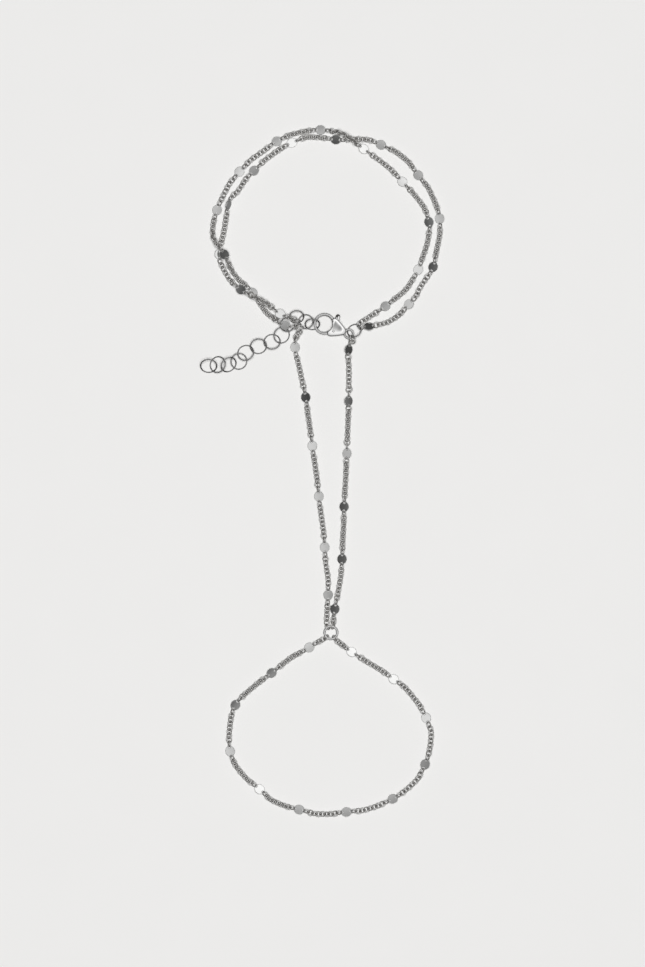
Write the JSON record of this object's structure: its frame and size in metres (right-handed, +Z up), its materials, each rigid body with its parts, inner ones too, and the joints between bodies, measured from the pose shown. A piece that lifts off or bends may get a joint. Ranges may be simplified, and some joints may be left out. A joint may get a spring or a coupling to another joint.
{
  "type": "hand chain bracelet",
  "caption": "Hand chain of fine round links set with small flat discs: wrist strands with a lobster clasp and a ring extender, strands over the back of the hand and a loop round the palm.",
  "frame": {"origin": "middle of the bounding box's base, on the table that the chain lies on", "axes": "+Y towards the wrist loop, -Y towards the palm loop, +X to the right seen from above, +Z up from the table"},
  "size_m": [0.0707, 0.2004, 0.0035],
  "materials": {
    "chain": "polished silver-tone plate on fine links",
    "discs": "mirror-polished silver-tone plate",
    "clasp": "polished silver-tone plate",
    "rings": "polished silver-tone plate"
  },
  "bodies": {
    "bracelet": {"wrist_chain_outer": "chain", "wrist_chain_inner": "chain", "hand_chain_left": "chain", "hand_chain_right": "chain", "palm_chain": "chain", "wrist_discs_outer": "discs", "wrist_discs_inner": "discs", "hand_discs_left": "discs", "hand_discs_right": "discs", "palm_discs": "discs", "clasp_body": "clasp", "clasp_rivet": "clasp", "clasp_end_ring": "rings", "junction_ring": "rings", "extender_link": "rings", "extender_ring_0": "rings", "extender_ring_1": "rings", "extender_ring_2": "rings", "extender_ring_3": "rings", "extender_ring_4": "rings", "extender_ring_5": "rings", "extender_ring_6": "rings", "extender_ring_7": "rings", "extender_ring_8": "rings", "eye_ring": "rings", "palm_ring": "rings"},
    "lever": {"clasp_lever": "clasp"}
  },
  "joints": [
    {"name": "lever_hinge", "type": "hinge", "parent": "bracelet", "child": "lever", "pos_m": [0.00321, 0.04064, 0.00135], "axis": [0, 0, -1], "range_deg": [0, 25], "stiffness_Nm_per_rad": 0.002, "springref_deg": -17.19}
  ]
}
